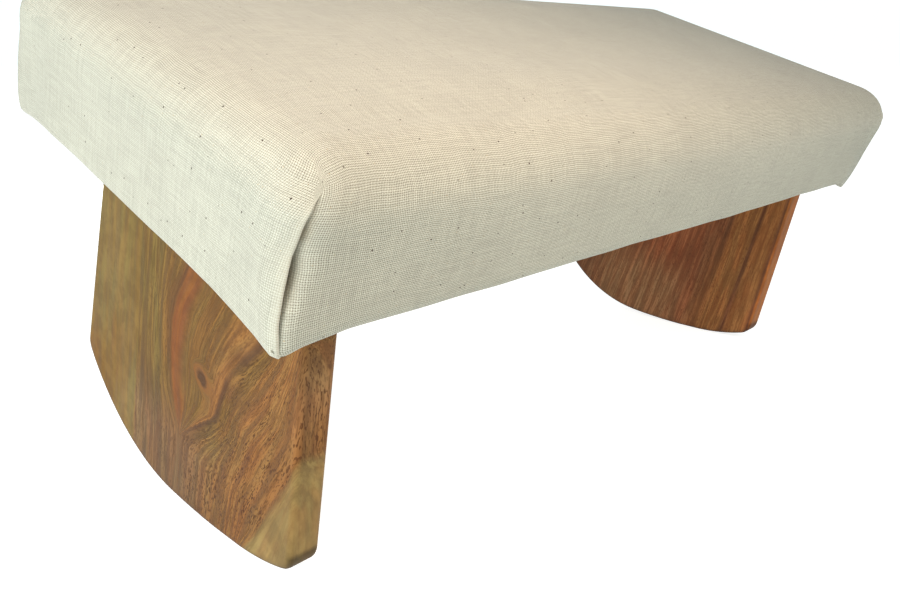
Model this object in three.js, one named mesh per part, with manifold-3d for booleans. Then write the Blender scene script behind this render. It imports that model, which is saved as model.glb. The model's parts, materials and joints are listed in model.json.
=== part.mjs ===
// Padded kneeling bench with folding rocker legs, in millimetres.
// A canvas-covered seat (board, foam pad, canvas cover, staples) stands on two wooden legs. Each leg swings
// inward on two brass butt hinges and folds flat under the seat. The feet are curved, so the unloaded bench
// rests tipped forward. Everything is drawn in the seat's own frame, then the whole bench is tipped.
// Seat frame: X along the seat, Y to the rear, Z up, origin at the middle of the seat's underside.
import * as THREE from "three";
import { mergeVertices } from "three/addons/utils/BufferGeometryUtils.js";
import Module from "manifold-3d";

const wasm = await Module();
wasm.setup();

// ---- Driving dimensions ----
const SEAT_LENGTH = 460;
const SEAT_WIDTH = 200;
const SEAT_HEIGHT = 56.5; // underside to the top of the rounded edge
const CROWN = 1.5; // how much the middle of the pad stands above its edges
const TOP_EDGE_RADIUS = 20;
const CORNER_RADIUS = 15; // of the seat's upright corners
const HEM_RADIUS = 3; // where the canvas turns under the board
const CANVAS = 1.2; // thickness of the canvas
const HEM_WIDTH = 22; // canvas turned under the board
const BOARD_THICKNESS = 12;
const BOARD_CORNER_RADIUS = 30; // cut rounder than the pad, so that the canvas can gather at the corners
const GAP = 0.3; // between pieces that touch

const LEG_THICKNESS = 14.5;
const LEG_END_INSET = 28.5; // from the seat's end to the leg's outer face
const LEG_MIDLINE = -2.8; // the legs stand a little forward of the seat's middle
const LEG_TOP_HALF_WIDTH = 72.5;
const LEG_FLARE = 0.1285; // the leg's edges slope outward going down
const LEG_EDGE_ROUND = 2.5;
const FOOT_CORNER_RADIUS = 9;

const REST_TILT = THREE.MathUtils.degToRad(18.6); // how far the unloaded bench tips forward
const STANDING_POINT = new THREE.Vector2(-49.1, -139.8); // where the foot touches the floor at rest, in Y and Z
// The foot's curve is three arcs that run into one another. Slopes are angles from the seat's plane.
const TOE_RADIUS = 138;
const SOLE_RADIUS = 404;
const HEEL_RADIUS = 96;
const TOE_JOIN = REST_TILT + THREE.MathUtils.degToRad(1.15);
const HEEL_JOIN = THREE.MathUtils.degToRad(11.9);
const TOE_STEPS = 4;
const SOLE_STEPS = 3; // besides the flat step the bench stands on
const HEEL_STEPS = 14;

const HINGE_LENGTH = 50;
const HINGE_OFFSETS = [-42, 42]; // along the leg's top, from its midline
const LEAF_THICKNESS = 1.5;
const LEAF_WIDTH = 19; // from the pin's axis to the leaf's free edge
const KNUCKLE_RADIUS = 2.75;
const KNUCKLES = 5;
const KNUCKLE_CLEARANCE = 0.3;
const PIN_RADIUS = 1.2;
const SCREW_SPACING = 30;
const SCREW_LENGTH = 10;
const SCREW_RADIUS = 1.3;
const SCREW_HEAD_RADIUS = 2.6;
const SCREW_HEAD_DEPTH = 1.35;
const SCREW_OFFSET = 11; // from the pin's axis

const STAPLE_CROWN = 10;
const STAPLE_LEG = 7;
const STAPLE_WIRE = 0.8;
const STAPLES_PER_LONG_SIDE = 8;
const STAPLES_PER_SHORT_SIDE = 4;

const HALF_LENGTH = SEAT_LENGTH / 2;
const HALF_WIDTH = SEAT_WIDTH / 2;
const BOARD_BOTTOM = CANVAS + GAP;
const BOARD_TOP = BOARD_BOTTOM + BOARD_THICKNESS;
const LEG_TOP = BOARD_BOTTOM - GAP;
const LEG_INNER_FACE = HALF_LENGTH - LEG_END_INSET - LEG_THICKNESS;

// ---- Materials ----
const canvasLook = new THREE.MeshStandardMaterial({ color: 0xe3dccb, roughness: 0.95 });
const foamLook = new THREE.MeshStandardMaterial({ color: 0xf0ead2, roughness: 0.9 });
const boardLook = new THREE.MeshStandardMaterial({ color: 0xc9a877, roughness: 0.7 });
const legLook = new THREE.MeshStandardMaterial({ color: 0x95643a, roughness: 0.55 });
const brassLook = new THREE.MeshStandardMaterial({ color: 0xb98f45, roughness: 0.35, metalness: 0.9 });
const steelLook = new THREE.MeshStandardMaterial({ color: 0xa9abad, roughness: 0.4, metalness: 0.9 });

// ---- Solids ----
function toSolid(geometry) {
  const bare = geometry.index ? geometry.toNonIndexed() : geometry.clone();
  bare.deleteAttribute("normal");
  bare.deleteAttribute("uv");
  const merged = mergeVertices(bare, 1e-3);
  return new wasm.Manifold(
    new wasm.Mesh({
      numProp: 3,
      vertProperties: merged.attributes.position.array,
      triVerts: new Uint32Array(merged.index.array),
    }),
  );
}

function toGeometry(solid) {
  const mesh = solid.getMesh();
  const indexed = new THREE.BufferGeometry();
  indexed.setAttribute("position", new THREE.BufferAttribute(mesh.vertProperties, 3));
  indexed.setIndex(new THREE.BufferAttribute(mesh.triVerts, 1));
  const faceted = indexed.toNonIndexed();
  faceted.computeVertexNormals();
  return faceted;
}

const join = (solids) => solids.reduce((sum, next) => sum.add(next));

function box(sizeX, sizeY, sizeZ, x, y, z) {
  return new THREE.BoxGeometry(sizeX, sizeY, sizeZ).translate(x, y, z);
}

function namedMesh(name, geometry, look) {
  const mesh = new THREE.Mesh(geometry, look);
  mesh.name = name;
  return mesh;
}

// ---- Seat ----
// Points round a rounded rectangle as large as the seat less inset on every side, at height z.
function seatRing(inset, z, cornerRadius = CORNER_RADIUS) {
  const radius = Math.max(cornerRadius - inset, 1);
  const x = HALF_LENGTH - inset - radius;
  const y = HALF_WIDTH - inset - radius;
  const corners = [[x, y], [-x, y], [-x, -y], [x, -y]];
  const steps = 5;
  const points = [];
  corners.forEach(([cx, cy], corner) => {
    for (let i = 0; i <= steps; i++) {
      const angle = ((corner + i / steps) * Math.PI) / 2;
      points.push([cx + radius * Math.cos(angle), cy + radius * Math.sin(angle), z]);
    }
  });
  return points;
}

// A closed body skinned over rings of points, with a flat cap on the first and the last ring.
function skin(rings) {
  const count = rings[0].length;
  const positions = rings.flat(2);
  const triangles = [];
  for (let row = 0; row + 1 < rings.length; row++) {
    for (let i = 0; i < count; i++) {
      const a = row * count + i;
      const b = row * count + ((i + 1) % count);
      triangles.push(a, b, b + count, a, b + count, a + count);
    }
  }
  const last = (rings.length - 1) * count;
  for (let i = 1; i + 1 < count; i++) {
    triangles.push(0, i + 1, i, last, last + i, last + i + 1);
  }
  const geometry = new THREE.BufferGeometry();
  geometry.setAttribute("position", new THREE.Float32BufferAttribute(positions, 3));
  geometry.setIndex(triangles);
  return geometry;
}

// Section of the padded top from the side up to the crown, a given depth below the canvas's outer face.
function padSection(depth) {
  const radius = TOP_EDGE_RADIUS - depth;
  const steps = 5;
  const section = [];
  for (let i = 0; i <= steps; i++) {
    const angle = (i / steps) * (Math.PI / 2);
    const inset = TOP_EDGE_RADIUS - radius * Math.cos(angle);
    section.push([inset, SEAT_HEIGHT - TOP_EDGE_RADIUS + radius * Math.sin(angle)]);
  }
  section.push([HALF_WIDTH * 0.45, SEAT_HEIGHT - depth + CROWN * 0.75]);
  section.push([HALF_WIDTH * 0.75, SEAT_HEIGHT - depth + CROWN]);
  return section;
}

function foamPad() {
  const depth = CANVAS + GAP;
  const bottom = BOARD_TOP + GAP;
  const section = [[depth + 1, bottom], [depth, bottom + 1], ...padSection(depth)];
  const rings = section.map(([inset, z]) => seatRing(inset, z));
  return namedMesh("foam_pad", skin(rings), foamLook);
}

// The canvas as one shell: down its inner face, round the hem under the board and up its outer face.
function seatCover(slots) {
  const steps = 3;
  const hem = (depth) => {
    const arc = [];
    for (let i = 0; i <= steps; i++) {
      const angle = (i / steps) * (Math.PI / 2);
      const radius = HEM_RADIUS - depth;
      arc.push([HEM_RADIUS - radius * Math.sin(angle), HEM_RADIUS - radius * Math.cos(angle)]);
    }
    return arc;
  };
  const inside = [...padSection(CANVAS).reverse(), ...hem(CANVAS).reverse(), [HEM_WIDTH, CANVAS]];
  const outside = [[HEM_WIDTH, 0], ...hem(0), ...padSection(0)];
  const rings = [...inside, ...outside].map(([inset, z]) => seatRing(inset, z));
  return namedMesh("seat_cover", toGeometry(toSolid(skin(rings)).subtract(slots)), canvasLook);
}

function seatBoard(cuts) {
  const inset = CANVAS + GAP + 0.5;
  const ease = 1;
  const outline = new THREE.Shape(
    seatRing(inset + ease, 0, BOARD_CORNER_RADIUS).map(([x, y]) => new THREE.Vector2(x, y)),
  );
  const slab = new THREE.ExtrudeGeometry(outline, {
    depth: BOARD_THICKNESS - 2 * ease,
    bevelSize: ease,
    bevelThickness: ease,
    bevelSegments: 1,
  }).translate(0, 0, BOARD_BOTTOM + ease);
  return namedMesh("seat_board", toGeometry(toSolid(slab).subtract(cuts)), boardLook);
}

// ---- Staples that hold the hem ----
// Each place is the staple's middle and its turn about Z.
function staplePlaces() {
  const places = [];
  const middle = HEM_WIDTH / 2 + 1;
  const row = (count, length, place) => {
    for (let i = 0; i < count; i++) place((i + 0.5) * (length / count) - length / 2, i + 1);
  };
  for (const [side, sign] of [["front", -1], ["rear", 1]]) {
    row(STAPLES_PER_LONG_SIDE, SEAT_LENGTH - 40, (along, number) =>
      places.push([`staple_${side}_${number}`, along, sign * (HALF_WIDTH - middle), 0]));
  }
  for (const [side, sign] of [["left", -1], ["right", 1]]) {
    row(STAPLES_PER_SHORT_SIDE, SEAT_WIDTH - 50, (along, number) =>
      places.push([`staple_${side}_${number}`, sign * (HALF_LENGTH - middle), along, Math.PI / 2]));
  }
  return places;
}

function stapleGeometry() {
  const half = STAPLE_CROWN / 2;
  const outline = new THREE.Shape();
  outline.moveTo(-half, -STAPLE_WIRE);
  outline.lineTo(half, -STAPLE_WIRE);
  outline.lineTo(half, STAPLE_LEG);
  outline.lineTo(half - STAPLE_WIRE, STAPLE_LEG - 1);
  outline.lineTo(half - STAPLE_WIRE, -GAP / 2);
  outline.lineTo(STAPLE_WIRE - half, -GAP / 2);
  outline.lineTo(STAPLE_WIRE - half, STAPLE_LEG - 1);
  outline.lineTo(-half, STAPLE_LEG);
  return new THREE.ExtrudeGeometry(outline, { depth: STAPLE_WIRE, bevelEnabled: false })
    .translate(0, 0, -STAPLE_WIRE / 2)
    .rotateX(Math.PI / 2);
}

function staples() {
  return staplePlaces().map(([name, x, y, turn]) => {
    const mesh = namedMesh(name, stapleGeometry(), steelLook);
    mesh.position.set(x, y, 0);
    mesh.rotation.z = turn;
    return mesh;
  });
}

// Slots for the staples' legs, through the hem and into the board.
function stapleSlots() {
  const width = STAPLE_WIRE + 2 * GAP;
  const legMiddle = (STAPLE_CROWN - STAPLE_WIRE) / 2;
  const depth = STAPLE_LEG + 2 * GAP;
  const slots = staplePlaces().flatMap(([, x, y, turn]) =>
    [-1, 1].map((end) =>
      toSolid(
        box(width, width, depth + 1, end * legMiddle, 0, (depth - 1) / 2)
          .rotateZ(turn)
          .translate(x, y, 0),
      )));
  return join(slots);
}

// ---- Screws ----
// A countersunk screw whose head is flush with the plane y = 0 and whose point runs down Y; grow makes a cutter.
function screwBody(grow) {
  const headTop = grow > 0 ? 1 : 0;
  const profile = [
    [0, -SCREW_LENGTH - grow],
    [SCREW_RADIUS * 0.4 + grow, -SCREW_LENGTH + 1],
    [SCREW_RADIUS + grow, -SCREW_LENGTH + 3],
    [SCREW_RADIUS + grow, -SCREW_HEAD_DEPTH],
    [SCREW_HEAD_RADIUS + grow, 0],
  ];
  if (grow > 0) profile.push([SCREW_HEAD_RADIUS + grow, headTop]);
  profile.push([0, headTop]);
  return new THREE.LatheGeometry(profile.map(([r, y]) => new THREE.Vector2(r, y)), 14);
}

function screwGeometry() {
  const bar = SCREW_HEAD_RADIUS * 1.1;
  const slot = 0.7;
  const depth = 0.8;
  const recess = toSolid(box(bar, depth * 2, slot, 0, 0, 0)).add(
    toSolid(box(slot, depth * 2, bar, 0, 0, 0)),
  );
  return toGeometry(toSolid(screwBody(0)).subtract(recess));
}

// Where a leaf's two screws stand: heads on the leaf's free face, points up into the wood.
function screwFrames() {
  return [-1, 1].map((end) =>
    new THREE.Matrix4()
      .makeRotationX(-Math.PI / 2)
      .setPosition(SCREW_OFFSET, (end * SCREW_SPACING) / 2, KNUCKLE_RADIUS - LEAF_THICKNESS));
}

// ---- Hinges ----
// Hinge frame: Y along the pin, origin on its axis. Both leaves are drawn as the seat leaf, which runs along X
// under the board; the leg leaf is then turned to hang down the leg's inner face.
const LEAF_TURNS = {
  seat: new THREE.Matrix4(),
  leg: new THREE.Matrix4().makeBasis(
    new THREE.Vector3(0, 0, -1),
    new THREE.Vector3(0, -1, 0),
    new THREE.Vector3(-1, 0, 0),
  ),
};

// The seat leaf holds the outer and middle knuckles (firstKnuckle 0), the leg leaf those between (1).
function leafGeometry(firstKnuckle) {
  const pitch = HINGE_LENGTH / KNUCKLES;
  const length = pitch - KNUCKLE_CLEARANCE;
  const start = KNUCKLE_RADIUS + KNUCKLE_CLEARANCE;
  const width = LEAF_WIDTH - start;
  const middle = KNUCKLE_RADIUS - LEAF_THICKNESS / 2;
  const pieces = [box(width, HINGE_LENGTH, LEAF_THICKNESS, start + width / 2, 0, middle)];
  for (let i = firstKnuckle; i < KNUCKLES; i += 2) {
    const y = (i + 0.5) * pitch - HINGE_LENGTH / 2;
    const barrel = new THREE.CylinderGeometry(KNUCKLE_RADIUS, KNUCKLE_RADIUS, length, 20);
    pieces.push(barrel.translate(0, y, 0));
    pieces.push(box(start + 1, length, LEAF_THICKNESS, (start + 1) / 2, y, middle));
  }
  const boreRadius = PIN_RADIUS + GAP / 2;
  const bore = new THREE.CylinderGeometry(boreRadius, boreRadius, HINGE_LENGTH + 2, 16);
  const holes = screwFrames().map((frame) => screwBody(GAP / 2).applyMatrix4(frame));
  return toGeometry(join(pieces.map(toSolid)).subtract(join([bore, ...holes].map(toSolid))));
}

function pinGeometry() {
  const half = HINGE_LENGTH / 2;
  const dome = 0.6;
  const profile = [
    [0, -half - dome],
    [PIN_RADIUS * 0.7, -half - dome * 0.7],
    [PIN_RADIUS, -half],
    [PIN_RADIUS, half],
    [PIN_RADIUS * 0.7, half + dome * 0.7],
    [0, half + dome],
  ];
  return new THREE.LatheGeometry(profile.map(([r, y]) => new THREE.Vector2(r, y)), 14);
}

// The four hinges: their names and where their frames stand in the seat frame.
function hingePlaces() {
  const places = [];
  for (const [side, sign] of [["left", -1], ["right", 1]]) {
    for (const offset of HINGE_OFFSETS) {
      const place = new THREE.Group();
      place.position.set(
        sign * (LEG_INNER_FACE - GAP - KNUCKLE_RADIUS),
        LEG_MIDLINE + offset,
        BOARD_BOTTOM - GAP - KNUCKLE_RADIUS,
      );
      place.rotation.z = sign > 0 ? Math.PI : 0;
      place.updateMatrix();
      places.push({ name: `${side}_${offset < 0 ? "front" : "rear"}_hinge`, side, place });
    }
  }
  return places;
}

function hinge({ name, place }) {
  place.add(namedMesh(`${name}_pin`, pinGeometry(), brassLook));
  ["seat", "leg"].forEach((leaf, firstKnuckle) => {
    const turned = new THREE.Group();
    turned.applyMatrix4(LEAF_TURNS[leaf]);
    turned.add(namedMesh(`${name}_${leaf}_leaf`, leafGeometry(firstKnuckle), brassLook));
    screwFrames().forEach((frame, i) => {
      const screw = namedMesh(`${name}_${leaf}_screw_${i + 1}`, screwGeometry(), brassLook);
      screw.applyMatrix4(frame);
      turned.add(screw);
    });
    place.add(turned);
  });
  return place;
}

// Pilot holes for the screws of one leaf of every given hinge, in the seat frame.
function pilotHoles(places, leaf) {
  return join(
    places.flatMap(({ place }) =>
      screwFrames().map((frame) => {
        const hole = screwBody(GAP).applyMatrix4(frame).applyMatrix4(LEAF_TURNS[leaf]);
        return toSolid(hole.applyMatrix4(place.matrix));
      })),
  );
}

// ---- Legs ----
// A point on a foot arc, at the place where the foot has the given slope.
function arcPoint(centre, radius, slope) {
  return new THREE.Vector2(-Math.sin(slope), -Math.cos(slope)).multiplyScalar(radius).add(centre);
}

// The centre of the arc that passes through a point with the given slope.
function arcCentre(point, radius, slope) {
  return arcPoint(point, -radius, slope);
}

// Slope of a foot arc where it meets the leg's straight edge on that side (-1 front, 1 rear).
function slopeAtEdge(centre, radius, side) {
  let slope = REST_TILT;
  for (let i = 0; i < 60; i++) {
    const depth = LEG_TOP - arcPoint(centre, radius, slope).y;
    const edge = LEG_MIDLINE + side * (LEG_TOP_HALF_WIDTH + LEG_FLARE * depth);
    slope = Math.asin((centre.x - edge) / radius);
  }
  return slope;
}

// Points along a foot arc, from the first slope to the last, without the last point itself.
function arcPoints(centre, radius, first, last, steps) {
  const points = [];
  for (let i = 0; i < steps; i++) {
    points.push(arcPoint(centre, radius, first + ((last - first) * i) / steps));
  }
  return points;
}

// Rounds the corner at b of the path a-b-c with a short arc.
function roundedCorner(a, b, c, radius) {
  const toA = a.clone().sub(b).normalize();
  const toC = c.clone().sub(b).normalize();
  const half = Math.acos(toA.dot(toC)) / 2;
  const reach = radius / Math.tan(half);
  const middle = toA.clone().add(toC).normalize().multiplyScalar(radius / Math.sin(half)).add(b);
  const start = b.clone().addScaledVector(toA, reach).sub(middle).angle();
  const end = b.clone().addScaledVector(toC, reach).sub(middle).angle();
  const turn = THREE.MathUtils.euclideanModulo(end - start + Math.PI, 2 * Math.PI) - Math.PI;
  const steps = 5;
  const points = [];
  for (let i = 0; i <= steps; i++) {
    const angle = start + (turn * i) / steps;
    points.push(new THREE.Vector2(middle.x + radius * Math.cos(angle), middle.y + radius * Math.sin(angle)));
  }
  return points;
}

// The leg's side view in Y and Z: straight flared edges, the curved foot and its rounded corners. The sole's
// foremost step lies flat on the floor at the rest tilt.
function legOutline() {
  const sole = arcCentre(STANDING_POINT, SOLE_RADIUS, REST_TILT);
  const toe = arcCentre(arcPoint(sole, SOLE_RADIUS, TOE_JOIN), TOE_RADIUS, TOE_JOIN);
  const heel = arcCentre(arcPoint(sole, SOLE_RADIUS, HEEL_JOIN), HEEL_RADIUS, HEEL_JOIN);
  const toeSlope = slopeAtEdge(toe, TOE_RADIUS, -1);
  const heelSlope = slopeAtEdge(heel, HEEL_RADIUS, 1);
  const toeTip = arcPoint(toe, TOE_RADIUS, toeSlope);
  const heelTip = arcPoint(heel, HEEL_RADIUS, heelSlope);
  const flatEnd = 2 * REST_TILT - TOE_JOIN;
  const foot = [
    ...arcPoints(toe, TOE_RADIUS, toeSlope, TOE_JOIN, TOE_STEPS),
    arcPoint(sole, SOLE_RADIUS, TOE_JOIN),
    ...arcPoints(sole, SOLE_RADIUS, flatEnd, HEEL_JOIN, SOLE_STEPS),
    ...arcPoints(heel, HEEL_RADIUS, HEEL_JOIN, heelSlope, HEEL_STEPS),
  ];
  const curve = foot.filter(
    (point) => Math.min(point.distanceTo(toeTip), point.distanceTo(heelTip)) > FOOT_CORNER_RADIUS,
  );
  const frontTop = new THREE.Vector2(LEG_MIDLINE - LEG_TOP_HALF_WIDTH, LEG_TOP);
  const rearTop = new THREE.Vector2(LEG_MIDLINE + LEG_TOP_HALF_WIDTH, LEG_TOP);
  return [
    frontTop,
    ...roundedCorner(frontTop, toeTip, curve[0], FOOT_CORNER_RADIUS),
    ...curve,
    ...roundedCorner(curve.at(-1), heelTip, rearTop, FOOT_CORNER_RADIUS),
    rearTop,
  ];
}

function rockerLeg(side, hinges) {
  const sign = side === "left" ? -1 : 1;
  const panel = new THREE.ExtrudeGeometry(new THREE.Shape(legOutline()), {
    depth: LEG_THICKNESS - 2 * LEG_EDGE_ROUND,
    bevelSize: LEG_EDGE_ROUND,
    bevelOffset: -LEG_EDGE_ROUND,
    bevelThickness: LEG_EDGE_ROUND,
    bevelSegments: 2,
  });
  const yToX = new THREE.Matrix4().makeBasis(
    new THREE.Vector3(0, 1, 0),
    new THREE.Vector3(0, 0, 1),
    new THREE.Vector3(1, 0, 0),
  );
  const outer = LEG_INNER_FACE + LEG_THICKNESS;
  panel.translate(0, 0, LEG_EDGE_ROUND + (sign < 0 ? -outer : LEG_INNER_FACE)).applyMatrix4(yToX);
  const holes = pilotHoles(hinges.filter((one) => one.side === side), "leg");
  return namedMesh(`${side}_rocker_leg`, toGeometry(toSolid(panel).subtract(holes)), legLook);
}

// ---- Bench ----
const seatFrame = new THREE.Group();
const hinges = hingePlaces();
const slots = stapleSlots();
seatFrame.add(seatBoard(slots.add(pilotHoles(hinges, "seat"))), foamPad(), seatCover(slots));
seatFrame.add(...staples());
seatFrame.add(...["left", "right"].map((side) => rockerLeg(side, hinges)));
seatFrame.add(...hinges.map(hinge));
seatFrame.rotation.x = REST_TILT;

// Stand the tipped bench on the floor, its box centred on the origin.
const bounds = new THREE.Box3().setFromObject(seatFrame, true);
seatFrame.position.set(0, -(bounds.min.y + bounds.max.y) / 2, -bounds.min.z);

const bench = new THREE.Group();
bench.add(seatFrame);
export default bench;
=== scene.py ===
"""The looks of the padded kneeling bench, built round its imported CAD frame. Lengths are metres.

Pieces are drawn in the seat's own frame (X along the seat, Y to the rear, Z up, origin at the middle of
the seat's underside), and then tilted as the bench rests on its curved feet.
"""

import json
import math
from types import SimpleNamespace

import bmesh
import bpy
import numpy as np
from mathutils import Matrix, Vector


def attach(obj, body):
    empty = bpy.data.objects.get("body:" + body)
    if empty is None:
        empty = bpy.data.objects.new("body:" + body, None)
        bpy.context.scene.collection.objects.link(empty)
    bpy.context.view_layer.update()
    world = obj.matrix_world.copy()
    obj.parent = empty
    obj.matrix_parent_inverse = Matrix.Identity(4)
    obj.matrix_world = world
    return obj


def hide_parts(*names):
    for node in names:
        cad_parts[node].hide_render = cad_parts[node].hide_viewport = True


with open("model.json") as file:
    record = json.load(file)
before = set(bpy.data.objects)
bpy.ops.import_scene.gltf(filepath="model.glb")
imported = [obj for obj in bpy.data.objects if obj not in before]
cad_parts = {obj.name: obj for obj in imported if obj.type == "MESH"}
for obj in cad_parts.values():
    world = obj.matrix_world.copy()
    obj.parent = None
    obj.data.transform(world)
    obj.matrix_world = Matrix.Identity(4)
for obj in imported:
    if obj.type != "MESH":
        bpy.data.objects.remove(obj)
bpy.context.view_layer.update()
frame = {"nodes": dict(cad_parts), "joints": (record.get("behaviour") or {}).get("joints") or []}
MM = 0.001

# ---- The seat's frame, from the right leg's hinge ----
FOLD = next(j for j in frame["joints"] if j["name"] == "right_leg_fold")
PIN_IN_SEAT = Vector((183.95, -2.8, -1.55)) * MM
REST_TILT = math.atan2(FOLD["axis"][2], FOLD["axis"][1])
TURN = Matrix.Rotation(REST_TILT, 4, "X")
SEAT = Matrix.Translation(Vector(FOLD["pos_m"]) - TURN @ PIN_IN_SEAT) @ TURN

# ---- Seat sizes ----
HALF_LENGTH = 230 * MM
HALF_WIDTH = 100 * MM
SEAT_HEIGHT = 56.5 * MM
TOP_EDGE_RADIUS = 20 * MM
CORNER_RADIUS = 15 * MM
HEM_CORNER_RADIUS = 4 * MM  # the folded canvas makes the corners sharper towards the hem,
CORNER_BLEND = 34 * MM  # below this height
EDGE_RUNOUT = 1.15  # top edge radii drawn in at which the corners would be sharp
HEM_RADIUS = 3 * MM
HEM_WIDTH = 22 * MM
CANVAS = 1.2 * MM
RIPPLES = ((0.1, 9.1, 0), (0.08, 5.7, 1), (0.25, 31, 2))  # the hem's waves: height, length, phase
RIPPLE_DROP = 0.3  # mm
RIPPLE_HEIGHT = 10 * MM

# ---- Mesh and simulation of the cushion ----
CAGE_STEP = 4 * MM  # mesh size of the simulated cushion; the shown one is twice as fine
EDGE_ROWS, SIDE_ROWS, HEM_ROWS, UNDER_ROWS = 6, 8, 2, 4  # rows of its wall, from the top down
SWELL_ROOM = 0.8 * MM  # how much smaller the cushion starts
SWELL_STIFFNESS = {"tension": 30, "compression": 30, "shear": 15, "bending": 4}
SWELL_SETTINGS = {"quality": 6, "mass": 0.3, "use_pressure": True, "uniform_pressure_force": 0.5}
SWELL_FRAMES = 20
SWELL_CAP = 4 * MM
SWELL_SMOOTHING = 6  # passes that even out the smallest wrinkles

# ---- The fold on each corner, where the end's canvas laps over the front's ----
FOLD_START = 48 * MM  # height at which the fold opens
# Heights, and how far round the front the fold's edge lies from the corner's middle there, both in mm
FOLD_COURSE = ((48, 5.4), (45, 3.0), (38, 0.5), (28, -1.1), (18, -1.4), (10, -1.4), (2, -0.4), (0, 0.4))
FOLD_ONSET = 1.8  # mesh rows over which the fold opens
FOLD_SHUT = 9 * MM  # height below which it lies ever flatter
FOLD_UNDER = 8 * MM  # how far it goes on under the board
FOLD_LIFT = 1.3 * MM
HEM_LIFT = 0.4  # share of the lift that is left at the hem
FOLD_GAPE = 0.8 * MM  # extra lift where the fold stands open
GAPE_HEIGHT, GAPE_SPREAD = 22 * MM, 9 * MM
UPPER_HEIGHT, UPPER_SPREAD = 36 * MM, 3.5 * MM  # a smaller opening above
FOLD_NOSE = 0.7 * MM  # radius of the folded edge
NOSE_STEPS = 6
NOSE_STRIDE = 0.25  # mesh columns of canvas in each step
NOSE_TAIL = (2, 2.5)  # mm that the last step goes back under the fold, and inward
RIM_VERTICES = 4  # the first ones of the folded edge, which take the rim's painted highlight
FOLD_REACH = 26 * MM  # how far back the folded layer thickens the end panel
FOLD_HOLLOW = 1.7 * MM  # depth of the long panel's dip beside the fold
HOLLOW_WIDTH, HOLLOW_REACH = 2.2 * MM, 12 * MM
UPPER_HOLLOW, SHUT_HOLLOW = 0.6, 0.25  # shares of that depth at the upper opening and where it is shut
GAPE_SHADE = 0.8  # strength of the painted shade at the main opening, against 1 at the upper one
TUCK_STEP = (1.2, 1.5)  # mm that each step of the covered layer goes under the fold, and inward

# ---- The corners' own shapes ----
# How far each is drawn in at the top and at the hem, hangs below the hem, and juts at the hem, in mm
CORNER_SHAPES = (
    (0.0, 0.0, 3.0, 3.6),  # front left
    (0.0, 8.5, 8.0, 3.6),  # front right
    (1.5, 7.0, 5.0, 0.0),  # rear right
    (2.0, 5.0, 5.0, 0.0),  # rear left
)
PULL_HEIGHT = 40 * MM  # below this the drawing in goes over from the top's to the hem's
PULL_CURVE = 1.5
PULL_ONSET = 12 * MM  # below the top, over which it sets in
PULL_REACH, DIP_REACH_LONG, DIP_REACH_END = 38 * MM, 25 * MM, 32 * MM
DIP_HEIGHT = 24 * MM
PINCH_REACH = 9 * MM  # the hem's rounding closes up to a point this near a corner
PULL_COLUMNS, SLIDE_COLUMNS = 30, 16  # mesh columns each side that are drawn in, or slide with the fold
PLACE_LEAD, PLACE_ROWS = 7, 12  # mesh rows above the fold, and in all, where the weave parts into panels

# ---- Leg sizes ----
LEG_INNER_FACE = 187 * MM
LEG_THICKNESS = 14.5 * MM
LEG_TOP = 1.2 * MM
LEG_MIDLINE = -2.8 * MM
LEG_TOP_HALF_WIDTH = 72.5 * MM
LEG_FLARE = 0.1285
LEG_EDGE_ROUND = 2.5 * MM
ROUND_STEPS = 4
BAND_STEPS = 7  # across the leg's edge between its rounded arrises
FOOT_CORNER_RADIUS = 9 * MM
FOOT_CORNER_STEPS = 9
STANDING_POINT = np.array((-49.1, -139.8)) * MM
TOE_RADIUS = 138 * MM
SOLE_RADIUS = 404 * MM
HEEL_RADIUS = 96 * MM
TOE_JOIN = REST_TILT + math.radians(1.15)
HEEL_JOIN = math.radians(11.9)
LEG_MESH = 1.25 * MM
SLOPE_PASSES = 60  # rounds in which the foot's slope at the leg's edge settles


def srgb(red, green, blue):
    """A colour given in display values, 0 to 255, as linear light."""
    scaled = np.array((red, green, blue)) / 255
    return np.where(scaled <= 0.04045, scaled / 12.92, ((scaled + 0.055) / 1.055) ** 2.4)


def smooth_step(t):
    t = np.clip(t, 0, 1)
    return t * t * (3 - 2 * t)


def unit(vector):
    return vector / np.linalg.norm(vector)


def new_piece(name, vertices, faces):
    mesh = bpy.data.meshes.new(name)
    mesh.from_pydata([tuple(map(float, v)) for v in vertices], [], [tuple(map(int, f)) for f in faces])
    mesh.validate()
    piece = bpy.data.objects.new(name, mesh)
    bpy.context.scene.collection.objects.link(piece)
    return piece


def add_attribute(piece, name, kind, field, values):
    layer = piece.data.attributes.new(name, kind, "POINT")
    layer.data.foreach_set(field, np.asarray(values, dtype=np.float32).ravel())


# ---- Cushion ----
def ring_radius(inset, height):
    """Corner radius of the seat's outline drawn in by inset: sharper towards the flat top and the hem."""
    full = HEM_CORNER_RADIUS + (CORNER_RADIUS - HEM_CORNER_RADIUS) * smooth_step(height / CORNER_BLEND)
    return full * max(0.0, 1 - inset / (EDGE_RUNOUT * TOP_EDGE_RADIUS))


def ring(inset, height, along, across, shrink=0.0):
    """Points round the seat's outline drawn in by inset, counterclockwise from the middle of the front left
    corner, and their bends, the angle turned within the corner's curve."""
    radius = ring_radius(inset, height)
    half = (HALF_LENGTH - inset - shrink, HALF_WIDTH - inset - shrink)
    points, bends = [], []
    for side, count in enumerate((along, across, along, across)):
        straight = half[side % 2] - radius
        reach = straight + radius * math.pi / 4
        c, s = math.cos(side * math.pi / 2), math.sin(side * math.pi / 2)
        for i in range(count):
            run = -reach + 2 * reach * i / count
            beyond = max(abs(run) - straight, 0.0)
            bend = math.copysign(beyond / radius if radius > 0 else 0.0, run)
            x = math.copysign(min(abs(run), straight), run) + radius * math.sin(bend)
            y = -(half[1 - side % 2] - radius) - radius * math.cos(bend)
            points.append((c * x - s * y, s * x + c * y))
            bends.append(bend)
    return np.array(points), np.array(bends)


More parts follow.
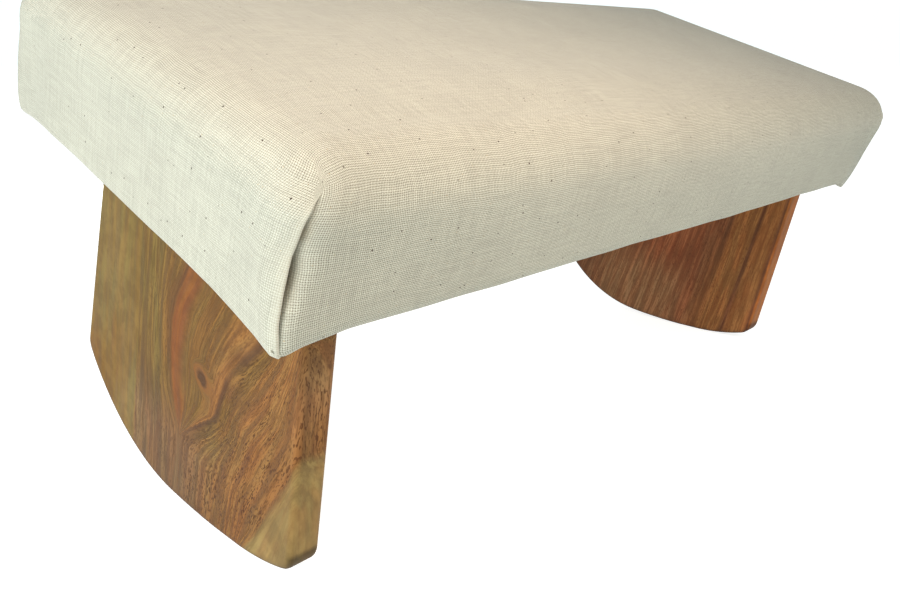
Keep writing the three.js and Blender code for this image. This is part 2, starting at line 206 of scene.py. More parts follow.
def wall_section(step):
    """Inset and height of each row, from the flat top to the hem's edge, and its way down the canvas."""
    finer = round(CAGE_STEP / step)
    rows = []
    arc = EDGE_ROWS * finer
    for i in range(arc + 1):
        angle = math.pi / 2 * i / arc
        inset = TOP_EDGE_RADIUS * (1 - math.sin(angle))
        rows.append((inset, SEAT_HEIGHT - TOP_EDGE_RADIUS * (1 - math.cos(angle))))
    side = SIDE_ROWS * finer
    top = SEAT_HEIGHT - TOP_EDGE_RADIUS
    rows += [(0, top + (HEM_RADIUS - top) * (i + 1) / side) for i in range(side)]
    hem = HEM_ROWS * finer
    for i in range(hem):
        angle = math.pi / 2 * (i + 1) / hem
        rows.append((HEM_RADIUS * (1 - math.cos(angle)), HEM_RADIUS * (1 - math.sin(angle))))
    under = UNDER_ROWS * finer
    rows += [(HEM_RADIUS + (HEM_WIDTH - HEM_RADIUS) * (i + 1) / under, 0) for i in range(under)]
    rows = np.array(rows)
    steps = np.hypot(*np.diff(rows, axis=0).T)
    return rows, np.concatenate([[0], np.cumsum(steps)])


def top_edge(along, across):
    """Indices into the top grid of its edge, in the same order as the wall's columns."""
    front = [(i, 0) for i in range(along)]
    right = [(along, j) for j in range(across)]
    rear = [(along - i, across) for i in range(along)]
    left = [(0, across - j) for j in range(across)]
    return np.array(front + right + rear + left)


def flat_top(along, across, shrink=0.0):
    """X and Y of the flat top's grid."""
    x = np.linspace(-1, 1, along + 1)[:, None] * (HALF_LENGTH - TOP_EDGE_RADIUS - shrink)
    y = np.linspace(-1, 1, across + 1)[None, :] * (HALF_WIDTH - TOP_EDGE_RADIUS - shrink)
    return x, y


def cushion_grid(step, shrink=0.0):
    """The cushion as a flat top grid [along, across] and a wall grid [row, column]."""
    along, across = (round(2 * (half - TOP_EDGE_RADIUS) / step) for half in (HALF_LENGTH, HALF_WIDTH))
    rows, _ = wall_section(step)
    wall = np.zeros((len(rows), 2 * (along + across), 3))
    for r, (inset, height) in enumerate(rows):
        loose = shrink * smooth_step((height - HEM_RADIUS) / TOP_EDGE_RADIUS)
        wall[r, :, :2] = ring(inset, height, along, across, loose)[0]
        wall[r, :, 2] = height - loose * height / SEAT_HEIGHT
    top = np.stack(np.broadcast_arrays(*flat_top(along, across, shrink), SEAT_HEIGHT - shrink), -1).copy()
    edge = top_edge(along, across)
    top[edge[:, 0], edge[:, 1]] = wall[0]
    return top, wall


def grid_faces(index):
    """Quads over a grid of vertex indices."""
    a, b, c, d = index[:-1, :-1], index[1:, :-1], index[1:, 1:], index[:-1, 1:]
    return np.stack([a, b, c, d], -1).reshape(-1, 4).tolist()


def refined(grid, wrap):
    """A grid of movements at twice the resolution; wrap joins the second axis's ends."""
    rows = np.empty((2 * grid.shape[0] - 1, *grid.shape[1:]))
    rows[::2] = grid
    rows[1::2] = (grid[1:] + grid[:-1]) / 2
    following = np.roll(rows, -1, axis=1) if wrap else rows[:, 1:]
    fine = np.empty((rows.shape[0], 2 * rows.shape[1] - (0 if wrap else 1), 3))
    fine[:, ::2] = rows
    fine[:, 1::2] = (following + (rows if wrap else rows[:, :-1])) / 2
    return fine


def cage_swell():
    """How far cloth under pressure moves the coarse cushion's top and wall grids."""
    top, wall = cushion_grid(CAGE_STEP, SWELL_ROOM)
    along, across = top.shape[0] - 1, top.shape[1] - 1
    edge = top_edge(along, across)
    index = np.arange(top[..., 0].size).reshape(top.shape[:2])
    columns = wall.shape[1]
    rows = [index[edge[:, 0], edge[:, 1]]]
    rows += [np.arange(columns) + index.size + r * columns for r in range(len(wall) - 1)]
    faces = grid_faces(index)
    faces += grid_faces(np.array([[*row, row[0]] for row in rows]))
    faces.append(rows[-1][::-1].tolist())
    vertices = np.concatenate([top.reshape(-1, 3), wall[1:].reshape(-1, 3)])
    cage = new_piece("cushion_cage", vertices, faces)

    stapled = cage.vertex_groups.new(name="stapled")
    stapled.add([v.index for v in cage.data.vertices if v.co.z < HEM_RADIUS + 0.1 * MM], 1.0, "REPLACE")
    cloth = cage.modifiers.new("cloth", "CLOTH")
    for kind, value in SWELL_STIFFNESS.items():
        setattr(cloth.settings, kind + "_stiffness", value)
    for name, value in SWELL_SETTINGS.items():
        setattr(cloth.settings, name, value)
    cloth.settings.vertex_group_mass = stapled.name
    cloth.settings.effector_weights.gravity = 0
    cloth.collision_settings.use_collision = False
    scene = bpy.context.scene
    scene.frame_start = 1
    scene.frame_end = SWELL_FRAMES
    for number in range(1, SWELL_FRAMES + 1):
        scene.frame_set(number)
    swollen = cage.evaluated_get(bpy.context.evaluated_depsgraph_get())
    moved = np.empty(len(cage.data.vertices) * 3)
    swollen.data.vertices.foreach_get("co", moved)
    moved = moved.reshape(-1, 3) - vertices
    scene.frame_set(1)
    bpy.data.objects.remove(cage)

    length = np.linalg.norm(moved, axis=1, keepdims=True)
    moved *= np.minimum(1, SWELL_CAP / np.maximum(length, 1e-9))
    top_moved = moved[: index.size].reshape(top.shape)
    wall_moved = np.stack([moved[row] for row in rows])
    for _ in range(SWELL_SMOOTHING):
        top_moved[1:-1, 1:-1] = (
            top_moved[:-2, 1:-1] + top_moved[2:, 1:-1] + top_moved[1:-1, :-2] + top_moved[1:-1, 2:]
        ) / 4
        beside = np.roll(wall_moved, 1, axis=1) + np.roll(wall_moved, -1, axis=1)
        wall_moved[1:-1] = (wall_moved[:-2] + wall_moved[2:] + beside[1:-1]) / 4
    return top_moved, wall_moved


def canvas_places(step, along, across):
    """Where each wall vertex lies on the canvas, in a map whole round the corners and in one by panels."""
    rows, lengths = wall_section(step)
    whole = np.zeros((len(rows), 2 * (along + across), 2))
    panel = np.zeros_like(whole)
    sides = np.repeat(np.arange(4), (along, across, along, across))
    c, s = np.cos(sides * math.pi / 2), np.sin(sides * math.pi / 2)
    edge = np.where(sides % 2 == 0, HALF_WIDTH, HALF_LENGTH)
    for r in range(len(rows)):
        inset = rows[r, 0] if lengths[r] < 2 * TOP_EDGE_RADIUS else 0.0
        radius = ring_radius(inset, rows[r, 1])
        points, bend = ring(inset, rows[r, 1], along, across)
        straight = c * points[:, 0] + s * points[:, 1] - radius * np.sin(bend)
        drop = edge - TOP_EDGE_RADIUS + lengths[r]
        inner = edge - inset - radius
        for out, x, y in (
            (whole, straight + (drop - inner) * np.sin(bend), -inner - (drop - inner) * np.cos(bend)),
            (panel, straight + radius * bend, -drop),
        ):
            out[r, :, 0] = c * x - s * y
            out[r, :, 1] = s * x + c * y
    return whole, panel


def sampled(line, column):
    """A closed line of points at a fractional column."""
    low = math.floor(column)
    share = column - low
    return line[low % len(line)] * (1 - share) + line[(low + 1) % len(line)] * share


def continued(line, column, way, by=1.0):
    """The value at a column as its neighbours on one side lead to it, by that many steps of theirs."""
    near, far = line[(column + way) % len(line)], line[(column + 2 * way) % len(line)]
    return near + (near - far) * by


def wall_normals(wall):
    along = np.roll(wall, -1, axis=1) - np.roll(wall, 1, axis=1)
    down = np.gradient(wall, axis=0)
    normals = np.cross(down, along)
    return normals / np.maximum(np.linalg.norm(normals, axis=-1, keepdims=True), 1e-12)


def shape_corners(wall, heights, insets, corners, pitch):
    """Slides each corner's middle column to its fold, draws the corner in and lets it hang lower."""
    columns = wall.shape[1]
    fold_heights, fold_places = zip(*FOLD_COURSE[::-1])
    for shape, (middle, way) in zip(CORNER_SHAPES, corners):
        pull_top, pull_hem, dip, point = np.array(shape) * MM
        inward = -np.sign(wall[-1, middle, :2]) / math.sqrt(2)
        for r, height in enumerate(heights):
            fall = 1 - smooth_step((height - FOLD_START) / (SEAT_HEIGHT - FOLD_START))
            slide = -way * np.interp(height / MM, fold_heights, fold_places) * MM * fall / pitch
            line = wall[r].copy()
            for offset in range(1 - SLIDE_COLUMNS, SLIDE_COLUMNS):
                place = middle + offset + slide * (1 - smooth_step(abs(offset) / SLIDE_COLUMNS))
                wall[r, (middle + offset) % columns] = sampled(line, place)
            share = 1.0
            if insets[r] > HEM_RADIUS and height < HEM_RADIUS:
                share -= smooth_step((insets[r] - HEM_RADIUS) / (HEM_WIDTH - HEM_RADIUS))
            low = (1 - min(height / PULL_HEIGHT, 1)) ** PULL_CURVE
            pull = pull_top * (1 - low) + pull_hem * low
            pull *= smooth_step((SEAT_HEIGHT - height) / PULL_ONSET) * share
            depth = dip * (1 - smooth_step(height / DIP_HEIGHT)) * share
            pinch = min(insets[r] / HEM_RADIUS, 1) * point * share if height < HEM_RADIUS else 0
            for offset in range(-PULL_COLUMNS, PULL_COLUMNS + 1):
                at = (middle + offset) % columns
                away = abs(offset) * pitch
                reach = DIP_REACH_END if offset * way > 0 else DIP_REACH_LONG
                wall[r, at, :2] += inward * pull * (1 - smooth_step(away / PULL_REACH))
                wall[r, at, :2] -= inward * pinch * max(0, 1 - away / PINCH_REACH)
                wall[r, at, 2] -= depth * max(0, 1 - away / reach)


class MeshMaker:
    """Collects vertices with their places on the flat canvas, and faces."""

    def __init__(self):
        self.points, self.places, self.faces = [], [], []
        self.fold_shade_and_highlight = {}  # painted shade, up to 1, for a vertex deep in a fold, painted highlight, -1, for one on its edge, 0 elsewhere

    def add(self, points, places):
        start = len(self.points)
        self.points += [tuple(p) for p in points]
        self.places += [tuple(p) for p in places]
        return list(range(start, len(self.points)))

    def strip(self, first, second, flip):
        """Quads between two equally long lines of vertices."""
        if flip:
            first, second = second, first
        for a, b, c, d in zip(first, second, second[1:], first[1:]):
            if len({a, b, c, d}) == 4:
                self.faces.append((a, b, c, d))


def fold_section(height, inset, rows_down):
    """How far a fold is formed, how open it is near the hem, its lift, the dip beside it and its painted
    shade.
    """
    rise = smooth_step(rows_down / FOLD_ONSET)
    shut = smooth_step(height / FOLD_SHUT)
    gape = math.exp(-(((height - GAPE_HEIGHT) / GAPE_SPREAD) ** 2))
    upper_gape = math.exp(-(((height - UPPER_HEIGHT) / UPPER_SPREAD) ** 2))
    lift = FOLD_LIFT * (HEM_LIFT + (1 - HEM_LIFT) * shut) + FOLD_GAPE * gape
    lift *= rise
    if inset > 0:
        lift *= 1 - smooth_step(inset / FOLD_UNDER)
    hollow = FOLD_HOLLOW * max(gape, UPPER_HOLLOW * upper_gape, SHUT_HOLLOW * shut) * rise
    return rise, shut, lift, hollow, max(GAPE_SHADE * gape, upper_gape)


def add_fold(maker, wall, middle, way):
    """Laps the end panel's canvas over the long panel's at a corner's middle column. The end panel lies
    that way along the columns, 1 or -1."""
    columns = wall.points.shape[1]
    back = round(FOLD_REACH / wall.pitch)
    front = round(HOLLOW_REACH / wall.pitch)
    nose, tuck = [], []
    for r in range(wall.start, len(wall.points)):
        points, normals, places = wall.points[r], wall.normals[r], wall.places[r]
        line, end = wall.lines[r], wall.ends[r]
        rise, shut, lift, hollow, shade = fold_section(wall.heights[r], wall.insets[r], r - wall.start)
        base, normal = points[middle], normals[middle]
        if r > wall.start:
            end[middle] = maker.add([base + normal * lift], [continued(places, middle, way)])[0]
            maker.places[line[middle]] = tuple(continued(places, middle, -way))
        for m in range(1, back):
            c = (middle + way * m) % columns
            maker.points[line[c]] = tuple(points[c] + normals[c] * lift * (1 - smooth_step(m / back)))
        for m in range(0, front):
            c = (middle - way * m) % columns
            if m > 0 or r > wall.start:
                share = math.exp(-((m * wall.pitch / HOLLOW_WIDTH) ** 2))
                maker.points[line[c]] = tuple(points[c] - normals[c] * hollow * share)
                # painted shade in the dip beside the fold
                maker.fold_shade_and_highlight[line[c]] = share * shade * rise
        forward = unit(points[(middle - way) % columns] - base)
        curl = []
        for k in range(1, NOSE_STEPS + 1):
            angle = math.pi * k / NOSE_STEPS
            out = lift - FOLD_NOSE * rise * (1 - math.cos(angle))
            curl.append(base + normal * out + forward * FOLD_NOSE * rise * math.sin(angle))
        curl.append(curl[-1] - (forward * NOSE_TAIL[0] * shut + normal * NOSE_TAIL[1]) * MM * rise)
        spread = [continued(places, middle, way, 1 + NOSE_STRIDE * k) for k in range(1, NOSE_STEPS + 2)]
        nose.append([end[middle], *maker.add(curl, spread)])
        # a painted highlight on the folded edge
        for v in nose[-1][:RIM_VERTICES]:
            maker.fold_shade_and_highlight[v] = -rise
        buried = []
        for k in (1, 2):
            under, inward = TUCK_STEP[0] * MM * k * rise, TUCK_STEP[1] * MM * k * rise
            buried.append(base - forward * under - normal * (hollow + inward))
        tuck.append([line[middle], *maker.add(buried, [places[middle]] * 2)])
    for band, flip in ((nose, way > 0), (tuck, way < 0)):
        for upper, lower in zip(band, band[1:]):
            maker.strip(upper, lower, flip)


def swollen_cushion(step):
    top, wall = cushion_grid(step, SWELL_ROOM)
    top_moved, wall_moved = cage_swell()
    return top + refined(top_moved, wrap=False), wall + refined(wall_moved, wrap=True)


def build_cover():
    """The canvas cover: swollen cushion, a folded edge on each corner, and the hem under the board."""
    step = CAGE_STEP / 2
    top, points = swollen_cushion(step)
    along, across = top.shape[0] - 1, top.shape[1] - 1
    rows, _ = wall_section(step)
    insets, heights = rows.T
    columns = points.shape[1]
    pitch = 2 * HALF_LENGTH / along
    # each corner's middle column, and which way along the columns its end panel lies
    corners = ((0, -1), (along, 1), (along + across, -1), (2 * along + across, 1))
    shape_corners(points, heights, insets, corners, pitch)
    run = np.arange(columns) * pitch / MM
    ripple = sum(height * np.sin(run / length + phase) for height, length, phase in RIPPLES) - RIPPLE_DROP
    points[..., 2] += ripple * MM * (1 - smooth_step(heights / RIPPLE_HEIGHT))[:, None]

    maker = MeshMaker()
    flat = np.stack(np.broadcast_arrays(*flat_top(along, across)), -1)
    index = np.array(maker.add(top.reshape(-1, 3), flat.reshape(-1, 2))).reshape(along + 1, across + 1)
    maker.faces += grid_faces(index)
    edge = top_edge(along, across)
    lines = [list(index[edge[:, 0], edge[:, 1]])]
    for v, point in zip(lines[0], points[0]):
        maker.points[v] = tuple(point)

    whole, panel = canvas_places(step, along, across)
    start = int(np.argmax(heights < FOLD_START))
    fade = smooth_step((np.arange(len(rows)) - start + PLACE_LEAD) / PLACE_ROWS)[:, None, None]
    places = whole * (1 - fade) + panel * fade
    lines += [maker.add(points[r], places[r]) for r in range(1, len(rows))]
    ends = [list(line) for line in lines]  # the same rows as the end panels see them
    wall = SimpleNamespace(points=points, normals=wall_normals(points), places=places, pitch=pitch)
    wall.insets, wall.heights, wall.start = insets, heights, start
    wall.lines, wall.ends = lines, ends
    for middle, way in corners:
        add_fold(maker, wall, middle, way)

    for r in range(len(rows) - 1):
        for c in range(columns):
            n = (c + 1) % columns
            on_end = along <= c < along + across or c >= 2 * along + across
            upper, lower = (ends[r], ends[r + 1]) if on_end else (lines[r], lines[r + 1])
            maker.faces.append((upper[c], lower[c], lower[n], upper[n]))

    # the hem's cut edge, up against the board
    hem = ends[-1]
    above = [np.array(maker.points[v]) + (0, 0, CANVAS) for v in hem]
    raised = maker.add(above, [maker.places[v] for v in hem])
    maker.faces += grid_faces(np.array([[*hem, hem[0]], [*raised, raised[0]]]))

    cover = new_piece("canvas_cover", maker.points, maker.faces)
    add_attribute(cover, "canvas", "FLOAT_VECTOR", "vector", [(u, v, 0) for u, v in maker.places])
    # painted shade in the folds and a painted highlight on their edges, stored as the depth attribute
    fold_shade_and_highlight = [maker.fold_shade_and_highlight.get(v, 0.0) for v in range(len(maker.points))]
    add_attribute(cover, "depth", "FLOAT", "value", fold_shade_and_highlight)
    cover.data.shade_smooth()
    cover.data.transform(SEAT)
    return cover


# ---- Legs ----
def arc_point(centre, radius, slope):
    """A point on a foot arc, at the place where the foot has the given slope."""
    return centre + radius * np.array((-math.sin(slope), -math.cos(slope)))


def arc_points(centre, radius, first, last):
    count = max(2, round(abs(last - first) * radius / LEG_MESH))
    return [arc_point(centre, radius, first + (last - first) * i / count) for i in range(count)]


def slope_at_edge(centre, radius, side):
    """Slope of a foot arc where it meets the leg's straight edge on that side (-1 front, 1 rear)."""
    slope = REST_TILT
    for _ in range(SLOPE_PASSES):
        depth = LEG_TOP - arc_point(centre, radius, slope)[1]
        edge = LEG_MIDLINE + side * (LEG_TOP_HALF_WIDTH + LEG_FLARE * depth)
        slope = math.asin((centre[0] - edge) / radius)
    return slope


def rounded_corner(before, corner, after, radius):
    to_a, to_c = unit(before - corner), unit(after - corner)
    half = math.acos(to_a @ to_c) / 2
    reach = radius / math.tan(half)
    middle = corner + unit(to_a + to_c) * radius / math.sin(half)
    first, last = corner + to_a * reach - middle, corner + to_c * reach - middle
    start = math.atan2(first[1], first[0])
    turn = (math.atan2(last[1], last[0]) - start + math.pi) % (2 * math.pi) - math.pi
    angles = [start + turn * i / FOOT_CORNER_STEPS for i in range(FOOT_CORNER_STEPS + 1)]
    return [middle + radius * np.array((math.cos(a), math.sin(a))) for a in angles]


def leg_outline():
    """The leg's side view in Y and Z, from its front top corner round the foot to its rear top corner."""
    sole = arc_point(STANDING_POINT, -SOLE_RADIUS, REST_TILT)
    toe = arc_point(arc_point(sole, SOLE_RADIUS, TOE_JOIN), -TOE_RADIUS, TOE_JOIN)
    heel = arc_point(arc_point(sole, SOLE_RADIUS, HEEL_JOIN), -HEEL_RADIUS, HEEL_JOIN)
    toe_slope = slope_at_edge(toe, TOE_RADIUS, -1)
    heel_slope = slope_at_edge(heel, HEEL_RADIUS, 1)
    foot = arc_points(toe, TOE_RADIUS, toe_slope, TOE_JOIN)
    foot.append(arc_point(sole, SOLE_RADIUS, TOE_JOIN))
    foot += arc_points(sole, SOLE_RADIUS, 2 * REST_TILT - TOE_JOIN, HEEL_JOIN)
    foot += arc_points(heel, HEEL_RADIUS, HEEL_JOIN, heel_slope)
    toe_tip = arc_point(toe, TOE_RADIUS, toe_slope)
    heel_tip = arc_point(heel, HEEL_RADIUS, heel_slope)
    tips = (toe_tip, heel_tip)
    foot = [p for p in foot if min(np.linalg.norm(p - tip) for tip in tips) > FOOT_CORNER_RADIUS]
    front_top = np.array((LEG_MIDLINE - LEG_TOP_HALF_WIDTH, LEG_TOP))
    rear_top = np.array((LEG_MIDLINE + LEG_TOP_HALF_WIDTH, LEG_TOP))
    front_corner = rounded_corner(front_top, toe_tip, foot[0], FOOT_CORNER_RADIUS)
    rear_corner = rounded_corner(foot[-1], heel_tip, rear_top, FOOT_CORNER_RADIUS)
    return np.array([front_top, *front_corner, *foot, *rear_corner, rear_top])


def drawn_in(outline, depth):
    """The closed outline moved inward by depth."""
    edges = np.roll(outline, -1, axis=0) - outline
    normals = np.stack([-edges[:, 1], edges[:, 0]], -1)
    normals /= np.linalg.norm(normals, axis=1, keepdims=True)
    before = np.roll(normals, 1, axis=0)
    mitre = (normals + before) / (1 + (normals * before).sum(1, keepdims=True))
    return outline + mitre * depth


def leg_grid(outline, depth):
    """A grid [row, column] over the leg's side, from its top edge down to the foot."""
    inner = drawn_in(outline, depth)
    foot = inner[1:-1]
    spans = np.linalg.norm(np.diff(outline[1:-1], axis=0), axis=1)
    share = np.concatenate([[0], np.cumsum(spans)]) / spans.sum()
    top = inner[0] + (inner[-1] - inner[0]) * share[:, None]
    rows = round(np.linalg.norm(outline[0] - outline[1]) / LEG_MESH)
    down = np.linspace(0, 1, rows + 1)[:, None, None]
    return top * (1 - down) + foot * down


def border(grid):
    """A grid's border as one closed line."""
    return np.concatenate([grid[0, :-1], grid[:-1, -1], grid[-1, :0:-1], grid[:0:-1, 0]])


def build_leg(side, figure):
    outline = leg_outline()
    flat = leg_grid(outline, LEG_EDGE_ROUND)
    outer = LEG_INNER_FACE + LEG_THICKNESS
    rings = []  # X and outline depth of each ring, from the outer face to the inner face
    for i in range(1, ROUND_STEPS + 1):
        angle = math.pi / 2 * i / ROUND_STEPS
        x = outer - LEG_EDGE_ROUND * (1 - math.cos(angle))
        rings.append((x, LEG_EDGE_ROUND * (1 - math.sin(angle))))
    width = LEG_THICKNESS - 2 * LEG_EDGE_ROUND
    rings += [(outer - LEG_EDGE_ROUND - width * i / BAND_STEPS, 0) for i in range(1, BAND_STEPS)]
    rings += [(2 * outer - LEG_THICKNESS - x, depth) for x, depth in rings[ROUND_STEPS - 1 :: -1]]

    count = flat[..., 0].size
    index = np.arange(count).reshape(flat.shape[:2])
    points = [np.column_stack([np.full(count, outer), flat.reshape(-1, 2)])]
    loops = [border(index)]
    faces = grid_faces(index)
    total = count
    for x, depth in rings:
        loop = border(leg_grid(outline, depth))
        points.append(np.column_stack([np.full(len(loop), x), loop]))
        loops.append(np.arange(len(loop)) + total)
        total += len(loop)
    points.append(np.column_stack([np.full(count, LEG_INNER_FACE), flat.reshape(-1, 2)]))
    inner_index = index + total
    loops.append(border(inner_index))
    faces += grid_faces(inner_index)
    for first, second in zip(loops, loops[1:]):
        faces += grid_faces(np.array([[*first, first[0]], [*second, second[0]]]))
    points = np.concatenate(points)
    grain, tone, knot = wood_figure(points, figure)
    if side == "left":
        points[:, 0] *= -1

    leg = new_piece(f"{side}_leg", points, faces)
    shape = bmesh.new()
    shape.from_mesh(leg.data)
    bmesh.ops.recalc_face_normals(shape, faces=shape.faces[:])
    shape.to_mesh(leg.data)
    shape.free()
    leg.data.shade_smooth()
    add_attribute(leg, "grain", "FLOAT_VECTOR", "vector", grain)
    add_attribute(leg, "tone", "FLOAT_COLOR", "color", tone)
    add_attribute(leg, "knot", "FLOAT", "value", knot)
    add_attribute(leg, "place", "FLOAT_VECTOR", "vector", points)
    leg.data.transform(SEAT)
    return leg


# ---- Wood figure ----
OLIVE = srgb(106, 86, 43)
SAND = srgb(109, 92, 51)
STRAW = srgb(128, 107, 65)
HONEY = srgb(112, 83, 37)
AMBER = srgb(110, 68, 31)
UMBER = srgb(108, 80, 38)
RUST = srgb(121, 86, 46)
BARK = srgb(70, 47, 25)
SHADE = srgb(90, 62, 35)
TAUPE = srgb(111, 85, 57)
CEDAR = srgb(136, 102, 67)
COCOA = srgb(115, 75, 51)
BRICK = srgb(132, 81, 54)
CLAY = srgb(133, 90, 53)
DUSK = srgb(98, 63, 43)
COPPER = srgb(150, 92, 44)
FAWN = srgb(136, 98, 69)

ARC_DEPTHS = (-15, -35, -50, -62, -75, -88, -98, -113, -150)


def arc(*places):
    """The course of a line of the arc behind the knot, from its Y at each of ARC_DEPTHS."""
    return tuple(zip(places, ARC_DEPTHS))


def straight(top, foot):
    """A straight line's course, from its Y at the seat and at the last depth."""
    return (top, 0), (foot, ARC_DEPTHS[-1])


# Lines of the grain in the leg's side view, rear to front. Each has the tone on it near the seat and near
# the foot, how porous the wood is there, how far across the grain it lies, and its course as (y, z) points.
LEFT_GRAIN = (
    (SAND, HONEY, 0.0, 0, straight(80, 95)),
    (SAND, HONEY, 0.0, 24, straight(58, 62)),
    (OLIVE, SAND, 0.0, 44.6, straight(35.4, 35.4)),
    (OLIVE, TAUPE, 0.3, 46, straight(34.6, 34.6)),
    (OLIVE, TAUPE, 0.4, 64, ((18, 0), (19, -60), (18, -90), (13, -120), (12, -150))),
    (UMBER, TAUPE, 0.45, 74.5, arc(-6, 2.5, 8.5, 10.5, 10, 8, 5.5, -3.5, -4)),
    (SHADE, TAUPE, 0.2, 76.5, arc(-9, -1, 5, 7.5, 7, 5, 2.5, -4.5, -5)),
    (AMBER, TAUPE, 0.0, 78, arc(-11, -3.5, 3, 5.5, 5, 3.5, 1, -5.2, -6)),
    (AMBER, TAUPE, 0.0, 83, arc(-16, -10, -2, 0, 0, -1.5, -4, -6, -6.6)),
    (UMBER, TAUPE, 0.3, 85, arc(-21, -16, -8.5, -6, -6, -7, -8, -6.4, -7)),
    (UMBER, TAUPE, 0.45, 104, ((-40, -15), (-30, -36), (-24, -50), (-20, -62), (-18, -90), (-12, -103),
     (-6.8, -113), (-7.6, -150))),
    (RUST, TAUPE, 0.35, 114, ((-58, -15), (-50, -36), (-43, -46), (-37, -57), (-33, -66), (-29, -88),
     (-20, -98), (-7.2, -113), (-8, -150))),
    (SHADE, TAUPE, 0.2, 116.5, ((-64, -15), (-55, -36.7), (-48.3, -46.7), (-41.7, -56.7), (-36.7, -65),
     (-33.3, -76.7), (-31.7, -85), (-23.3, -95), (-15, -103), (-7.8, -113), (-9, -150))),
    (UMBER, TAUPE, 0.8, 119, ((-66.5, -15), (-58, -38), (-51, -48), (-45, -58), (-40, -67), (-36.5, -78),
     (-34.5, -88), (-27, -98), (-19, -106), (-12, -116), (-13, -150))),
    (RUST, RUST, 1.0, 140, ((-73, -15), (-68, -36), (-60, -60), (-50, -78), (-44, -105), (-42, -150))),
    (RUST, RUST, 1.0, 158, ((-78, -15), (-76, -40), (-73, -62), (-64, -86), (-56, -112), (-54, -150))),
    (RUST, RUST, 0.9, 168, ((-79, -15), (-81.5, -45), (-83.7, -66), (-80.5, -80), (-73, -100),
     (-65.5, -122), (-60, -134))),
    (STRAW, STRAW, 0.2, 170, ((-83, -15), (-84.5, -45), (-85.5, -67), (-82, -82), (-75, -101),
     (-67.5, -123), (-62, -134))),
    (STRAW, STRAW, 0.05, 184, ((-88, 0), (-90, -60), (-92, -90), (-98, -150))),
)
# Patches of another tone: tone, middle (y, z), spread (y, z), strength
LEFT_PATCHES = (
    (SHADE, (28, -100), (7, 12), 0.4),
    (STRAW, (44, -136), (10, 14), 0.5),
    (SAND, (62, -34), (20, 12), 0.3),
    (HONEY, (57, -97), (8, 13), 0.6),
    (AMBER, (78, -122), (6, 9), 0.3),
    (AMBER, (-52, -124), (8, 12), 0.35),
    (AMBER, (-58, -84), (6, 16), 0.25),
    (AMBER, (-4, -100), (5, 9), 0.5),
    (SHADE, (-46, -58), (4, 9), 0.35),
    (STRAW, (-45, -94), (5, 14), 0.4),
    (SAND, (-31, -100), (5, 9), 0.5),
    (CEDAR, (-81, -34), (2.5, 22), 0.9),
)
LEFT_KNOT = (-19.5, -75)
KNOT_LINE, KNOT_RINGS = 104, 1.6  # how far across the grain it lies, and how closely the grain rings it
KNOT_REACH, KNOT_EDGE = 3, 5  # mm to which the rings are whole, and over which they fade
RIGHT_GRAIN = (
    (COCOA, COCOA, 0.3, 0, straight(78, 96)),
    (COCOA, COCOA, 0.4, 30, straight(48, 58)),
    (COCOA, FAWN, 0.4, 62, straight(18, 22)),
    (BRICK, FAWN, 0.4, 74, straight(5, 7)),
    (BRICK, FAWN, 0.5, 96, straight(-18, -20)),
    (COCOA, BRICK, 0.5, 121, straight(-41, -50)),
    (DUSK, DUSK, 0.4, 123.5, straight(-43.5, -53.5)),
    (CLAY, CLAY, 0.5, 127, straight(-47, -58)),
    (CLAY, CLAY, 0.5, 140, straight(-60, -71.5)),
    (DUSK, DUSK, 0.4, 142, straight(-62, -74)),
    (CLAY, CLAY, 0.4, 144, straight(-64, -78)),
    (CLAY, CLAY, 0.3, 152, straight(-71.5, -90)),
    (DUSK, DUSK, 0.2, 153, straight(-74, -93.2)),
    (COPPER, COPPER, 0.1, 154, straight(-75, -94.2)),
    (COPPER, COPPER, 0.1, 160, straight(-82, -101)),
)
RIGHT_PATCHES = (
    # painted shadow of the seat over the leg's top
    (BARK, (-30, -16), (24, 12), 0.4),
    (BRICK, (-20, -70), (14, 22), 0.3),
    (DUSK, (60, -60), (20, 30), 0.2),
)
LINE_GAP = 0.35  # mm that two lines of the grain keep apart
FOOT_TONE, FOOT_TONE_SPAN = 92, 32  # mm down where the foot's tones set in, and over which
GRAIN_SLANT = 0.45  # shift of the grain with depth into the wood
FOOT_ARRIS_PAINTED_SHADE = 0.65  # painted shade along the foot's lower arris
FOOT_SHADE_WIDTH = 1.8


